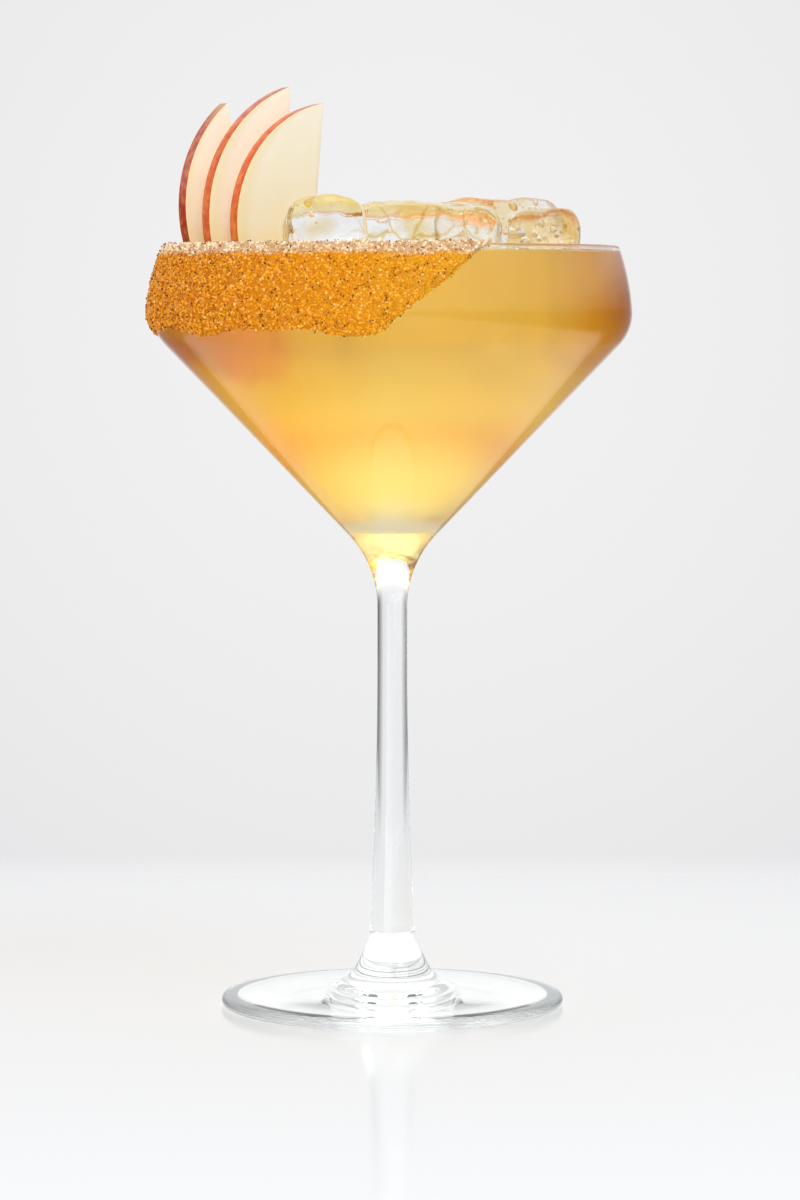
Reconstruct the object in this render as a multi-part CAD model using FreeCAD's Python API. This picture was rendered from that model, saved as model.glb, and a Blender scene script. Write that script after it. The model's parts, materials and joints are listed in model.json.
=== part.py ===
import FreeCAD, Part
import math
import os

# A stemmed cocktail glass, filled close to the rim with a spiced rum drink. Ice
# stands out of the drink, three apple slices fan out at the left of the rim, and
# a crust of sugar and cinnamon covers about half of the outside of the rim.
#
# Millimetres, +Z up, the foot stands on z = 0 and the stem is on the Z axis. The
# front of the drink faces -Y.

# ---------------------------------------------------------------- glass sizes
GLASS_HEIGHT = 175.0
RIM_DIAMETER = 103.6
BOWL_DIAMETER = 109.6
SHOULDER_BELOW_RIM = 15.5
SHOULDER_RADIUS = 10.5
UPPER_WALL_RADIUS = 55.0
CONE_HALF_ANGLE = 43.9
WALL = 1.3
BOWL_BOTTOM_RADIUS = 30.0
FLARE_RADIUS = 24.0
STEM_WAIST_DIAMETER = 6.85
STEM_WAIST_HEIGHT = 80.0
STEM_FOOT_DIAMETER = 10.7
JOINT_HEIGHT = 14.8
JOINT_LEDGE = 0.25
FOOT_DIAMETER = 78.8
FOOT_EDGE = 2.8
FOOT_SLOPE = 4.5
BOSS_ANGLE = 26.0
BOSS_RADIUS = 9.0
FOOT_HOLLOW = 1.4
CONTACT_RING_WIDTH = 2.5

# --------------------------------------------------------------- what fills it
DRINK_BELOW_RIM = 2.1
WALL_CLEARANCE = 0.4
PIECE_CLEARANCE = 0.3

# Sizes are length, width and height. A place is the middle of the top face, as
# right of the axis, behind the axis and above the drink.
ICE_TAPER = 0.86
ICE = {
    "left": {"size": (20.0, 22.0, 34.0), "round": 7.0, "place": (-14.8, -19.5, 13.2),
             "lean": 1.0, "tip": 0.0, "turn": 7.0},
    "middle": {"size": (37.0, 23.0, 30.0), "round": 6.5, "place": (8.0, 2.5, 12.2),
               "lean": 2.0, "tip": 4.0, "turn": -2.0},
    "right": {"size": (18.0, 20.0, 28.0), "round": 5.0, "place": (34.6, 1.0, 10.6),
              "lean": -1.0, "tip": 3.0, "turn": -8.0},
    "back": {"size": (31.0, 17.0, 30.0), "round": 6.0, "place": (24.5, 24.5, 13.6),
             "lean": 0.0, "tip": 3.0, "turn": 4.0},
}

# A slice stands on a vertical plane. Its cut edge runs from tip to tip, and its
# depth is from that edge to the skin.
SLICE_THICKNESS = 3.2
SLICE_TURN = 33.0
SLICE_LAST_Y = 2.0
SLICES = [
    {"length": 54.0, "depth": 16.6, "middle_x": -33.3, "above_drink": 7.6, "lean": 13.0},
    {"length": 58.8, "depth": 20.8, "middle_x": -24.7, "above_drink": 8.4, "lean": -1.0},
    {"length": 54.0, "depth": 20.8, "middle_x": -18.4, "above_drink": 7.2, "lean": -4.5},
]

CRUST_AT_RIM = 1.1
CRUST_AT_SHOULDER = 2.1
CRUST_DEPTH = 19.5
CRUST_RIM_START = -157.0
CRUST_RIM_END = 24.0
CRUST_END_SLANT = 26.0
CRUST_RIPPLE = 0.7
CRUST_STEPS = 96

# ------------------------------------------------------------ the bowl's lines
RIM_RADIUS = RIM_DIAMETER / 2
BOWL_RADIUS = BOWL_DIAMETER / 2
WAIST_RADIUS = STEM_WAIST_DIAMETER / 2
FOOT_RADIUS = FOOT_DIAMETER / 2
DRINK_LEVEL = GLASS_HEIGHT - DRINK_BELOW_RIM
CONE_SIN = math.sin(math.radians(CONE_HALF_ANGLE))
CONE_COS = math.cos(math.radians(CONE_HALF_ANGLE))
LIP_Z = GLASS_HEIGHT - WALL / 2
SHOULDER_R = BOWL_RADIUS - SHOULDER_RADIUS
SHOULDER_Z = GLASS_HEIGHT - SHOULDER_BELOW_RIM


def at(radius, height):
    """A point of an outline that is turned about the Z axis."""
    return FreeCAD.Vector(radius, 0, height)


def line(start, end):
    return Part.LineSegment(start, end).toShape()


def arc(start, middle, end):
    return Part.Arc(start, middle, end).toShape()


def arc_about(centre, radius, start_angle, end_angle):
    """An arc about a centre, by its angles above the horizontal in degrees."""
    points = []
    for angle in (start_angle, (start_angle + end_angle) / 2, end_angle):
        turn = math.radians(angle)
        points.append(centre + at(radius * math.cos(turn), radius * math.sin(turn)))
    return arc(*points)


def cut_all(solid, cutters):
    for cutter in cutters:
        solid = solid.cut(cutter)
    return solid


def turned(edges):
    """The solid that a closed outline makes when it turns about the Z axis."""
    face = Part.Face(Part.Wire(edges))
    return face.revolve(FreeCAD.Vector(0, 0, 0), FreeCAD.Vector(0, 0, 1), 360)


def upper_wall_centre():
    """The centre of the wall above the shoulder.

    That arc passes through the lip and touches the shoulder's arc from outside.
    """
    shoulder = at(SHOULDER_R, SHOULDER_Z)
    lip = at(RIM_RADIUS, LIP_Z)
    apart = lip - shoulder
    distance = apart.Length
    reach = UPPER_WALL_RADIUS - SHOULDER_RADIUS
    along = (reach ** 2 - UPPER_WALL_RADIUS ** 2 + distance ** 2) / (2 * distance)
    aside = math.sqrt(reach ** 2 - along ** 2)
    unit = apart / distance
    inward = at(-unit.z, unit.x)
    return shoulder + unit * along + inward * aside


UPPER_CENTRE = upper_wall_centre()
UPPER_LOW_ANGLE = math.degrees(math.atan2(SHOULDER_Z - UPPER_CENTRE.z, SHOULDER_R - UPPER_CENTRE.x))
UPPER_LIP_ANGLE = math.degrees(math.asin((LIP_Z - UPPER_CENTRE.z) / UPPER_WALL_RADIUS))
MOUTH_RADIUS = RIM_RADIUS - (1 + math.cos(math.radians(UPPER_LIP_ANGLE))) * WALL / 2
CONE_TOUCH_ANGLE = -CONE_HALF_ANGLE


def wall_arcs(inset):
    """The bowl's upper wall and shoulder, moved in from the outside by inset."""
    upper = arc_about(UPPER_CENTRE, UPPER_WALL_RADIUS - inset, UPPER_LIP_ANGLE, UPPER_LOW_ANGLE)
    shoulder = arc_about(
        at(SHOULDER_R, SHOULDER_Z), SHOULDER_RADIUS - inset, UPPER_LOW_ANGLE, CONE_TOUCH_ANGLE)
    return [upper, shoulder]


def cone_point(radius, inset):
    """The point of the cone at a radius, with the cone moved in by inset."""
    touch_radius = SHOULDER_R + (SHOULDER_RADIUS - inset) * CONE_COS
    touch_height = SHOULDER_Z - (SHOULDER_RADIUS - inset) * CONE_SIN
    return at(radius, touch_height - (touch_radius - radius) * CONE_COS / CONE_SIN)


def end_of(edge, low):
    """The lower or the upper end of an edge."""
    ends = [vertex.Point for vertex in edge.Vertexes]
    return min(ends, key=lambda p: p.z) if low else max(ends, key=lambda p: p.z)


def bowl_bottom(inset):
    """The rounded bottom of the bowl's inside, and the cone's line down to it."""
    apex = cone_point(0, inset)
    rounding = BOWL_BOTTOM_RADIUS + WALL - inset
    centre = apex + at(0, rounding / CONE_SIN)
    bottom = arc_about(centre, rounding, -90, CONE_TOUCH_ANGLE)
    return bottom, end_of(bottom, low=False)


# --------------------------------------------------------------------- pieces
def make_glass():
    underside = arc(
        at(0, FOOT_HOLLOW),
        at(FOOT_RADIUS * 0.5, FOOT_HOLLOW * 0.72),
        at(FOOT_RADIUS - FOOT_EDGE / 2 - CONTACT_RING_WIDTH, 0))
    ring = line(end_of(underside, low=True), at(FOOT_RADIUS - FOOT_EDGE / 2, 0))
    edge_centre = at(FOOT_RADIUS - FOOT_EDGE / 2, FOOT_EDGE / 2)
    foot_edge = arc_about(edge_centre, FOOT_EDGE / 2, -90, 90 - FOOT_SLOPE)

    # The foot's top rises to the boss, and both run into one another in an arc.
    slope = math.radians(FOOT_SLOPE)
    boss = math.radians(BOSS_ANGLE)
    edge_top = end_of(foot_edge, low=False)
    ledge_radius = STEM_FOOT_DIAMETER / 2 + JOINT_LEDGE
    boss_top = at(ledge_radius, JOINT_HEIGHT)
    top_way = at(-math.cos(slope), math.sin(slope))
    boss_way = at(-math.sin(boss), math.cos(boss))
    rise = boss_top - edge_top
    crossing = top_way.x * boss_way.z - top_way.z * boss_way.x
    along_top = (rise.x * boss_way.z - rise.z * boss_way.x) / crossing
    corner = edge_top + top_way * along_top
    tangent = BOSS_RADIUS * math.tan((math.pi / 2 - boss - slope) / 2)
    top_end = corner - top_way * tangent
    boss_start = corner + boss_way * tangent
    fillet_centre = top_end + at(math.sin(slope), math.cos(slope)) * BOSS_RADIUS
    toward_corner = corner - fillet_centre
    fillet_middle = fillet_centre + toward_corner * (BOSS_RADIUS / toward_corner.Length)
    foot_top = line(edge_top, top_end)
    foot_fillet = arc(top_end, fillet_middle, boss_start)
    boss_side = line(boss_start, boss_top)

    # The stem narrows to its waist in one long arc, whose centre is level with it.
    stem_foot = at(STEM_FOOT_DIAMETER / 2, JOINT_HEIGHT + JOINT_LEDGE)
    stem_rise = STEM_WAIST_HEIGHT - stem_foot.z
    stem_spread = stem_foot.x - WAIST_RADIUS
    stem_arc_radius = (stem_rise ** 2 + stem_spread ** 2) / (2 * stem_spread)
    stem_centre = at(WAIST_RADIUS + stem_arc_radius, STEM_WAIST_HEIGHT)
    stem_angle = math.degrees(math.asin(stem_rise / stem_arc_radius))
    ledge = line(boss_top, stem_foot)
    stem = arc_about(stem_centre, stem_arc_radius, 180 + stem_angle, 180)

    flare_reach = FLARE_RADIUS * math.tan(math.radians(CONE_HALF_ANGLE) / 2)
    flare_start = at(WAIST_RADIUS, cone_point(WAIST_RADIUS, 0).z - flare_reach)
    neck = line(at(WAIST_RADIUS, STEM_WAIST_HEIGHT), flare_start)
    flare = arc_about(
        flare_start + at(FLARE_RADIUS, 0), FLARE_RADIUS, 180, 180 - CONE_HALF_ANGLE)

    upper, shoulder = wall_arcs(0)
    cone = line(end_of(flare, low=False), end_of(shoulder, low=True))
    lip_turn = math.radians(UPPER_LIP_ANGLE)
    lip_out = end_of(upper, low=False)
    lip_across = at(-math.cos(lip_turn), -math.sin(lip_turn))
    lip_up = at(-math.sin(lip_turn), math.cos(lip_turn))
    lip = arc(
        lip_out, lip_out + (lip_across + lip_up) * (WALL / 2), lip_out + lip_across * WALL)

    inner_upper, inner_shoulder = wall_arcs(WALL)
    bottom, bottom_end = bowl_bottom(WALL)
    inner_cone = line(end_of(inner_shoulder, low=True), bottom_end)
    axis = line(end_of(bottom, low=True), at(0, FOOT_HOLLOW))
    return turned([
        underside, ring, foot_edge, foot_top, foot_fillet, boss_side, ledge, stem, neck,
        flare, cone, shoulder, upper, lip, inner_upper, inner_shoulder, inner_cone,
        bottom, axis])


def inside_of_bowl(inset, top):
    """The room inside the bowl, inset from the outside and carried up to top.

    Above the lip it is as wide as the glass's mouth, less the same clearance.
    """
    upper, shoulder = wall_arcs(inset)
    bottom, bottom_end = bowl_bottom(inset)
    lip = end_of(upper, low=False)
    mouth = MOUTH_RADIUS - (inset - WALL)
    edges = [bottom, line(bottom_end, end_of(shoulder, low=True)), shoulder, upper]
    edges.append(line(lip, at(mouth, lip.z)))
    edges.append(line(at(mouth, lip.z), at(mouth, top)))
    edges.append(line(at(mouth, top), at(0, top)))
    edges.append(line(at(0, top), end_of(bottom, low=True)))
    return turned(edges)


def make_ice(block, grow=0.0):
    """A tapered block of melting ice, its top face at the place given."""
    length, width, height = [size + 2 * grow for size in block["size"]]
    wires = []
    for share, level in ((ICE_TAPER, -height + grow), (1.0, grow)):
        x = length * share / 2
        y = width * share / 2
        corners = [(-x, -y), (x, -y), (x, y), (-x, y), (-x, -y)]
        wires.append(Part.makePolygon([FreeCAD.Vector(cx, cy, level) for cx, cy in corners]))
    solid = Part.makeLoft(wires, True)
    solid = solid.makeFillet(block["round"], solid.Edges)
    right, behind, above = block["place"]
    lean = FreeCAD.Rotation(FreeCAD.Vector(0, 1, 0), block["lean"])
    tip = FreeCAD.Rotation(FreeCAD.Vector(1, 0, 0), block["tip"])
    turn = FreeCAD.Rotation(FreeCAD.Vector(0, 0, 1), block["turn"])
    place = FreeCAD.Vector(right, behind, DRINK_LEVEL + above)
    solid.Placement = FreeCAD.Placement(place, turn * tip * lean)
    return solid


def slice_middles():
    """The middle of each slice's cut edge. The slices lie flat on one another."""
    turn = math.radians(SLICE_TURN)
    pitch = SLICE_THICKNESS + PIECE_CLEARANCE
    middles = []
    y = SLICE_LAST_Y
    for number in range(len(SLICES) - 1, -1, -1):
        if middles:
            step = middles[0].x - SLICES[number]["middle_x"]
            slide = (step - pitch * math.sin(turn)) / math.cos(turn)
            y += pitch * math.cos(turn) - slide * math.sin(turn)
        height = DRINK_LEVEL + SLICES[number]["above_drink"]
        middles.insert(0, FreeCAD.Vector(SLICES[number]["middle_x"], y, height))
    return middles


def make_slice(apple_slice, middle, grow=0.0):
    """A slice with its skin towards the left and its straight cut at the right."""
    half = apple_slice["length"] / 2 + grow
    depth = apple_slice["depth"] + grow
    cut = line(at(grow, half), at(grow, -half))
    skin = arc(at(grow, -half), at(-depth, 0), at(grow, half))
    thickness = SLICE_THICKNESS + 2 * grow
    solid = Part.Face(Part.Wire([cut, skin])).extrude(FreeCAD.Vector(0, thickness, 0))
    solid.translate(FreeCAD.Vector(0, -thickness / 2, 0))
    lean = FreeCAD.Rotation(FreeCAD.Vector(0, 1, 0), -apple_slice["lean"])
    turn = FreeCAD.Rotation(FreeCAD.Vector(0, 0, 1), SLICE_TURN)
    solid.Placement = FreeCAD.Placement(middle, turn * lean)
    return solid


def crust_edge_height(angle):
    """The height of the crust's lower edge, with 0 degrees at the front."""
    centre = (CRUST_RIM_START + CRUST_RIM_END) / 2
    half_span = (CRUST_RIM_END - CRUST_RIM_START) / 2
    away = abs((angle - centre + 180) % 360 - 180)
    slant = CRUST_DEPTH / CRUST_END_SLANT
    rise = max(0.0, (away - half_span + CRUST_END_SLANT) * slant)
    turn = math.radians(angle)
    ripple = CRUST_RIPPLE * (math.sin(9 * turn) + 0.6 * math.sin(17 * turn + 1))
    return GLASS_HEIGHT - CRUST_DEPTH + min(rise, CRUST_DEPTH + 3 * CRUST_AT_RIM) + ripple


def off_wall(centre, radius, angle, thickness):
    """A point that stands off one of the wall's arcs by a thickness."""
    turn = math.radians(angle)
    reach = radius + thickness
    return centre + at(reach * math.cos(turn), reach * math.sin(turn))


def make_crust(glass, inside):
    """The band of crust, thickest at the shoulder, over the rim and down the wall."""
    shoulder = at(SHOULDER_R, SHOULDER_Z)
    middle = (CRUST_AT_RIM + CRUST_AT_SHOULDER) / 2
    top = off_wall(UPPER_CENTRE, UPPER_WALL_RADIUS, UPPER_LIP_ANGLE, CRUST_AT_RIM)
    half_way = off_wall(
        UPPER_CENTRE, UPPER_WALL_RADIUS, (UPPER_LIP_ANGLE + UPPER_LOW_ANGLE) / 2, middle)
    widest = off_wall(shoulder, SHOULDER_RADIUS, UPPER_LOW_ANGLE, CRUST_AT_SHOULDER)
    turning = off_wall(
        shoulder, SHOULDER_RADIUS, (UPPER_LOW_ANGLE + CONE_TOUCH_ANGLE) / 2, CRUST_AT_SHOULDER)
    low = off_wall(shoulder, SHOULDER_RADIUS, CONE_TOUCH_ANGLE, middle)
    cap_height = GLASS_HEIGHT + CRUST_AT_RIM
    over = at(RIM_RADIUS, cap_height)
    inner = at(MOUTH_RADIUS, cap_height)
    in_lip = at(MOUTH_RADIUS + WALL / 2, LIP_Z)
    in_wall = cone_point(low.x - 2 * WALL, WALL)
    band = turned([
        arc(low, turning, widest), arc(widest, half_way, top), line(top, over),
        line(over, inner), line(inner, in_lip), line(in_lip, in_wall), line(in_wall, low)])
    rings = []
    for radius in (RIM_RADIUS - 6 * WALL, BOWL_RADIUS + 6 * WALL):
        points = []
        for step in range(CRUST_STEPS):
            angle = 360.0 * step / CRUST_STEPS
            turn = math.radians(angle - 90)
            height = crust_edge_height(angle)
            points.append(FreeCAD.Vector(radius * math.cos(turn), radius * math.sin(turn), height))
        ring = Part.BSplineCurve()
        ring.interpolate(points, PeriodicFlag=True)
        rings.append(ring.toShape())
    below = Part.makeRuledSurface(rings[0], rings[1])
    below = below.extrude(FreeCAD.Vector(0, 0, -3 * CRUST_DEPTH))
    return cut_all(band, [glass, inside, below])


def main():
    glass = make_glass()
    sky = GLASS_HEIGHT * 1.5
    room = inside_of_bowl(WALL + WALL_CLEARANCE, sky)
    middles = slice_middles()
    slices = [make_slice(s, m).common(room) for s, m in zip(SLICES, middles)]
    slice_rooms = [make_slice(s, m, PIECE_CLEARANCE) for s, m in zip(SLICES, middles)]

    ice = {}
    taken = list(slice_rooms)
    for name, block in ICE.items():
        ice[name] = cut_all(make_ice(block).common(room), taken)
        taken.append(make_ice(block, PIECE_CLEARANCE))

    inside = inside_of_bowl(WALL, sky)
    under_surface = Part.makeCylinder(BOWL_RADIUS, DRINK_LEVEL)
    drink = cut_all(inside.common(under_surface), slices + list(ice.values()))
    nodes = {"glass": glass, "drink": drink, "sugar_crust": make_crust(glass, inside)}
    for name, solid in ice.items():
        nodes["ice_" + name] = solid
    for number, solid in enumerate(slices):
        nodes["apple_slice_%d" % (number + 1)] = solid

    os.makedirs("parts", exist_ok=True)
    for name, shape in nodes.items():
        if len(shape.Solids) != 1 or not shape.isValid():
            raise ValueError("%s is not one valid solid" % name)
        print("%-14s %.2f cm3" % (name, shape.Volume / 1000))
        shape.Solids[0].exportStep("parts/%s.step" % name)


main()
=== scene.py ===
import json
import math

import bmesh
import bpy
from bpy.props import FloatProperty, FloatVectorProperty, IntProperty, PointerProperty
from mathutils import Matrix, Vector, noise
from mathutils.bvhtree import BVHTree

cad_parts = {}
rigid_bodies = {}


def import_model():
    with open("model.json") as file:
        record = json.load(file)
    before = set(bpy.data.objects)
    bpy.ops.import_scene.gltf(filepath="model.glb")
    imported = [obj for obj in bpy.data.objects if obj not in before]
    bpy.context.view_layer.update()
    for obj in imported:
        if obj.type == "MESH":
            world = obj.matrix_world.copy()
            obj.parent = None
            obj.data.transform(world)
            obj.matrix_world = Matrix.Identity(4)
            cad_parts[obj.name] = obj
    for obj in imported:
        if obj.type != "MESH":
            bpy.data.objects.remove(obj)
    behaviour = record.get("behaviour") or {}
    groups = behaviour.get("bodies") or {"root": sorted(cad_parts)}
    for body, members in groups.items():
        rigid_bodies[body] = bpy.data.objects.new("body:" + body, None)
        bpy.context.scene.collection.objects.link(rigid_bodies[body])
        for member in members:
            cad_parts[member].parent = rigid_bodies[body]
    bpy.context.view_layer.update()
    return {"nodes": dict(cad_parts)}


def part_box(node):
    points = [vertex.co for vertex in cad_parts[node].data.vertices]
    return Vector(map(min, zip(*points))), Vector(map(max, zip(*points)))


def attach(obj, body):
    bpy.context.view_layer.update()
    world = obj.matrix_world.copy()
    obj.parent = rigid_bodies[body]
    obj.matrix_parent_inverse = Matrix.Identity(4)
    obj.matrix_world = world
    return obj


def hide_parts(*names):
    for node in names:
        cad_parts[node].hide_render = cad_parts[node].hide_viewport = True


bl_info = {
    "name": "Spiced rum cocktail",
    "version": (1, 0, 0),
    "blender": (4, 5, 0),
    "location": "View3D > Sidebar > Cocktail",
    "description": "Builds a filled cocktail glass with ice, apple slices and a cinnamon sugar rim",
    "category": "Add Mesh",
}

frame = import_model()
GLASS_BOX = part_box("glass")
DRINK_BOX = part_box("drink")

MM = 0.001
GLASS_HEIGHT = GLASS_BOX[1][2]
BOWL_RADIUS = (GLASS_BOX[1][0] - GLASS_BOX[0][0]) / 2
DRINK_LEVEL = DRINK_BOX[1][2]
CONTACT_RING = 2.5 * MM  # width of the ring that the foot stands on
INTO_PIECES = 0.12 * MM  # how far the drink reaches into the ice and the slices
NEAR_WALL = 0.3 * MM  # how close to the glass the drink counts as lying against it
SOAKED_BELOW = 2 * MM  # depth under the drink from which a slice is soaked
BUBBLE_COVER = 0.3 * MM  # least ice between an air bubble and the outside
CRUST_TURN = 118  # angle over the lip at which the crust ends, in degrees


# ------------------------------------------------------------------ small tools
def srgb(code):
    """The linear colour of an sRGB hex code, with full alpha."""
    parts = [int(code[i:i + 2], 16) / 255 for i in (0, 2, 4)]
    linear = [c / 12.92 if c <= 0.04045 else ((c + 0.055) / 1.055) ** 2.4 for c in parts]
    return (*linear, 1.0)


def node(tree, kind, settings=None, **links):
    """Adds a node. Settings are its properties and inputs, links its linked inputs."""
    made = tree.nodes.new(kind)
    for key, value in (settings or {}).items():
        if isinstance(key, int) or key in made.inputs:
            made.inputs[key].default_value = value
        else:
            setattr(made, key, value)
    for key, source in links.items():
        name = int(key[1:]) if key[0] == "i" and key[1:].isdigit() else key.replace("_", " ")
        tree.links.new(source, made.inputs[name])
    return made


def new_material(name):
    """An empty node material and its output node."""
    material = bpy.data.materials.new(name)
    material.use_nodes = True
    material.node_tree.nodes.clear()
    output = material.node_tree.nodes.new("ShaderNodeOutputMaterial")
    return material, material.node_tree, output


def add_piece(name, mesh, replaced=(), smooth=True):
    """Puts a finished mesh into the scene as a piece of the object."""
    piece = bpy.data.objects.new(name, mesh)
    bpy.context.scene.collection.objects.link(piece)
    if smooth:
        mesh.shade_smooth()
    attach(piece, "root")
    if replaced:
        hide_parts(*replaced)
    return piece


def applied(piece, name):
    """The mesh of an object with its modifiers applied. The object is removed."""
    graph = bpy.context.evaluated_depsgraph_get()
    mesh = bpy.data.meshes.new_from_object(piece.evaluated_get(graph))
    mesh.name = name
    bpy.data.objects.remove(piece)
    return mesh


def finished(work, name):
    """The mesh of a bmesh, which is freed."""
    data = bpy.data.meshes.new(name)
    work.to_mesh(data)
    work.free()
    return data


def loose_object(name, mesh):
    """A working object, which applied() removes again."""
    piece = bpy.data.objects.new(name, mesh)
    bpy.context.scene.collection.objects.link(piece)
    return piece


def arc_points(centre, radius, start, end, steps):
    """Points of an arc in the (radius, height) plane, by angles in degrees."""
    points = []
    for step in range(steps + 1):
        turn = math.radians(start + (end - start) * step / steps)
        points.append((centre[0] + radius * math.cos(turn), centre[1] + radius * math.sin(turn)))
    return points


def lathe(profile, segments, name):
    """A mesh of revolution about the Z axis. Points on the axis close a pole."""
    mesh = bmesh.new()
    rings = []
    for radius, height in profile:
        if radius < 1e-7:
            rings.append([mesh.verts.new((0, 0, height))])
            continue
        ring = []
        for step in range(segments):
            turn = 2 * math.pi * step / segments
            ring.append(mesh.verts.new((radius * math.cos(turn), radius * math.sin(turn), height)))
        rings.append(ring)
    for low, high in zip(rings, rings[1:]):
        for step in range(segments):
            after = (step + 1) % segments
            if len(low) == 1:
                mesh.faces.new((low[0], high[after], high[step]))
            elif len(high) == 1:
                mesh.faces.new((low[step], low[after], high[0]))
            else:
                mesh.faces.new((low[step], low[after], high[after], high[step]))
    bmesh.ops.recalc_face_normals(mesh, faces=mesh.faces)
    return finished(mesh, name)


# --------------------------------------------------------------------- settings
def millimetres(name, description, value):
    """A length setting, given in millimetres."""
    return FloatProperty(name=name, description=description, default=value * MM, unit="LENGTH")


def degrees(name, description, value):
    """An angle setting, given in degrees."""
    return FloatProperty(
        name=name, description=description, default=math.radians(value), subtype="ANGLE")


class GlassSettings(bpy.types.PropertyGroup):
    rim_radius: millimetres("Rim radius", "Outside radius of the rim", 51.8)
    wall: millimetres("Wall", "Thickness of the bowl's wall", 1.3)
    shoulder_below_rim: millimetres(
        "Shoulder below rim", "Height from the shoulder's centre to the rim", 15.5)
    shoulder_radius: millimetres("Shoulder radius", "Rounding of the widest part of the bowl", 10.5)
    upper_wall_radius: millimetres(
        "Upper wall radius", "Curve of the wall above the shoulder", 55.0)
    cone_half_angle: degrees("Cone half angle", "Slope of the bowl's side from upright", 43.9)
    bottom_radius: millimetres("Bottom radius", "Rounding of the bottom of the inside", 30.0)
    flare_radius: millimetres("Flare radius", "Curve from the stem into the bowl", 24.0)
    waist_radius: millimetres("Waist radius", "The stem's smallest radius", 3.425)
    waist_height: millimetres("Waist height", "Height of the stem's thinnest place", 80.0)
    stem_foot_radius: millimetres(
        "Stem foot radius", "The stem's radius where it meets the foot", 5.35)
    joint_height: millimetres(
        "Joint height", "Height of the ledge where stem and foot are joined", 14.8)
    joint_ledge: millimetres("Joint ledge", "Width of that ledge", 0.25)
    foot_radius: millimetres("Foot radius", "Radius of the foot", 39.4)
    foot_edge: millimetres("Foot edge", "Thickness of the foot at its edge", 2.8)
    foot_slope: degrees("Foot slope", "Slope of the foot's top", 4.5)
    boss_angle: degrees("Boss angle", "Slope from upright of the foot's boss", 26.0)
    boss_radius: millimetres("Boss radius", "Rounding between the boss and the foot's top", 9.0)
    foot_hollow: millimetres("Foot hollow", "Height of the hollow under the foot", 1.4)
    segments: IntProperty(
        name="Segments", description="Number of faces around the glass", default=256, min=24)


class DrinkSettings(bpy.types.PropertyGroup):
    into_wall: millimetres("Into the wall", "How far the drink reaches into the glass", 0.15)
    climb: millimetres("Climb", "How far the surface climbs at the wall", 0.25)
    density: FloatProperty(
        name="Colour density", description="Absorption for each metre", default=14.0)
    colour: FloatVectorProperty(
        name="Colour", description="Linear colour that the drink lets through",
        default=(0.975, 0.86, 0.0), size=3, subtype="COLOR", min=0, max=1)


class IceSettings(bpy.types.PropertyGroup):
    voxel: millimetres("Voxel", "Mesh size of the ice", 0.6)
    melt: millimetres("Melt", "Depth of the melted hollows", 1.3)
    bubble: millimetres("Bubble", "Radius of the largest air bubbles", 1.1)
    clear_count: IntProperty(
        name="Bubbles in clear ice", description="Number of bubbles in a clear block", default=16)
    clouded_count: IntProperty(
        name="Bubbles in clouded ice", description="Number in a clouded block", default=420)


class AppleSettings(bpy.types.PropertyGroup):
    thickness: millimetres("Thickness", "Thickness of a slice", 3.2)
    gap: millimetres("Gap", "Gap between two slices", 0.3)
    turn: degrees("Turn", "How far the slices are turned from the front", 33.0)
    edge: millimetres("Edge rounding", "Rounding of the cut edges", 0.3)
    last_y: millimetres(
        "Last slice behind", "How far behind the axis the last slice's cut edge is", 2.0)


class CrustSettings(bpy.types.PropertyGroup):
    at_rim: millimetres("At the rim", "Thickness at the rim, with its grains", 1.0)
    at_shoulder: millimetres("At the shoulder", "Thickness at the bowl's widest part", 1.9)
    depth: millimetres("Depth", "Depth of the band below the rim", 19.5)
    start: degrees("Start", "Where the band starts, from the front", -157.0)
    end: degrees("End", "Where the band ends, from the front", 24.0)
    end_slant: degrees("End slant", "Angle over which the band fades out", 26.0)
    ripple: millimetres("Ripple", "Unevenness of the lower edge", 0.7)
    grain: millimetres("Grain", "Size of a sugar grain", 0.58)
    speck: millimetres("Speck", "Size of a flake of cinnamon", 0.46)
    grain_count: IntProperty(
        name="Grains for each square centimetre", description="How closely the grains lie",
        default=300, min=1)
    speck_count: IntProperty(
        name="Specks for each square centimetre", description="How closely the cinnamon lies",
        default=24, min=1)


class StageSettings(bpy.types.PropertyGroup):
    camera_distance: FloatProperty(
        name="Camera distance", description="From the stem to the camera",
        default=0.985, unit="LENGTH")
    camera_height: FloatProperty(
        name="Camera height", description="Height of the camera above the table",
        default=0.160, unit="LENGTH")
    camera_tilt: degrees("Camera tilt", "How far the camera looks down", 3.86)
    focal_length: FloatProperty(
        name="Focal length", description="Focal length in millimetres", default=129.0)


# Each slice's length, depth, place across, height above the drink and lean.
SLICES = (
    (54.0, 16.6, -33.3, 7.6, 13.0),
    (58.8, 20.8, -24.7, 8.4, -1.0),
    (54.0, 20.8, -18.4, 7.2, -4.5),
)


# ------------------------------------------------------------- the glass's lines
def bowl_lines(glass):
    """The centres and angles that the bowl's outside and inside share."""
    shoulder = Vector((
        BOWL_RADIUS - glass.shoulder_radius, GLASS_HEIGHT - glass.shoulder_below_rim))
    lip = Vector((glass.rim_radius, GLASS_HEIGHT - glass.wall / 2))
    apart = lip - shoulder
    reach = glass.upper_wall_radius - glass.shoulder_radius
    along = (reach ** 2 - glass.upper_wall_radius ** 2 + apart.length ** 2) / (2 * apart.length)
    aside = math.sqrt(reach ** 2 - along ** 2)
    unit = apart.normalized()
    upper = shoulder + unit * along + Vector((-unit.y, unit.x)) * aside
    low = math.degrees(math.atan2(shoulder.y - upper.y, shoulder.x - upper.x))
    high = math.degrees(math.asin((lip.y - upper.y) / glass.upper_wall_radius))
    return shoulder, upper, low, high


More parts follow.
